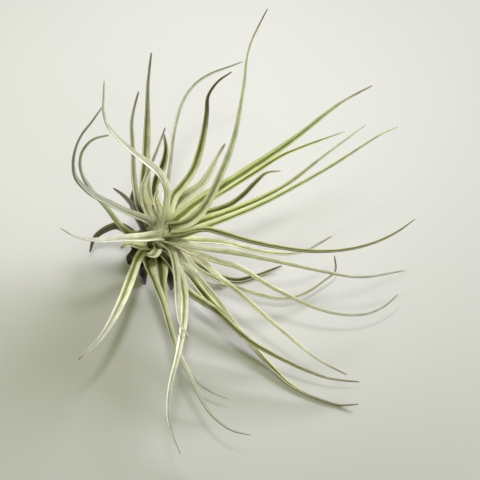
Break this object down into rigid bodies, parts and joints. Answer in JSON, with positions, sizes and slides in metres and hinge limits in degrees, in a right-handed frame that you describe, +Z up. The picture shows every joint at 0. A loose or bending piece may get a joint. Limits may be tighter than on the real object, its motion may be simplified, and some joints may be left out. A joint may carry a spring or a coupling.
{
  "type": "tillandsia air plant",
  "caption": "Bare-rooted air plant: a short leaning stem with a rosette of long, thin, channelled leaves.",
  "frame": {"origin": "centre of the flat foot of the stem, on the surface that the plant stands on", "axes": "+Z up, +X towards the side that the rosette leans to, -Y towards the front"},
  "size_m": [0.1489, 0.1873, 0.1055],
  "materials": {
    "bark": "matte, dry and fibrous",
    "silver": "matte, downy silver-green",
    "green": "matte, silver-green with an olive groove",
    "olive": "matte, dark olive",
    "dry": "matte, brown and papery"
  },
  "bodies": {
    "root": {"stem": "bark", "leaf_tall": "silver", "leaf_back_arc": "silver", "leaf_kinked": "olive", "leaf_upright": "olive", "leaf_upright_left": "green", "leaf_towards_eye": "silver", "leaf_short_silver": "silver", "leaf_short_brown": "olive", "leaf_loop_outer": "silver", "leaf_loop_inner": "silver", "leaf_left": "silver", "leaf_front_left": "silver", "leaf_front_low": "green", "leaf_front_long": "silver", "leaf_front_high": "silver", "leaf_hanging": "silver", "leaf_low_dark": "olive", "leaf_low_resting": "green", "leaf_low_short": "green", "leaf_right_low": "green", "leaf_right_sagging": "green", "leaf_right_level": "green", "leaf_right_long": "olive", "leaf_right_hidden": "silver", "leaf_ground_dark": "olive", "leaf_ground_bent": "olive", "leaf_upper_right_top": "green", "leaf_upper_right_under": "green", "leaf_upper_right_pair": "green", "leaf_upper_right_low": "green", "leaf_short_hooked": "olive", "leaf_back_silver": "silver", "young_leaf": "silver", "curled_leaf": "silver", "rolled_leaf": "silver", "old_leaf_left": "dry", "old_leaf_stub": "dry", "old_leaf_wedge": "olive", "dry_sheath": "dry", "old_leaf_foot": "dry", "old_leaf_front": "dry", "old_leaf_right": "olive", "old_leaf_low": "olive"}
  },
  "joints": []
}
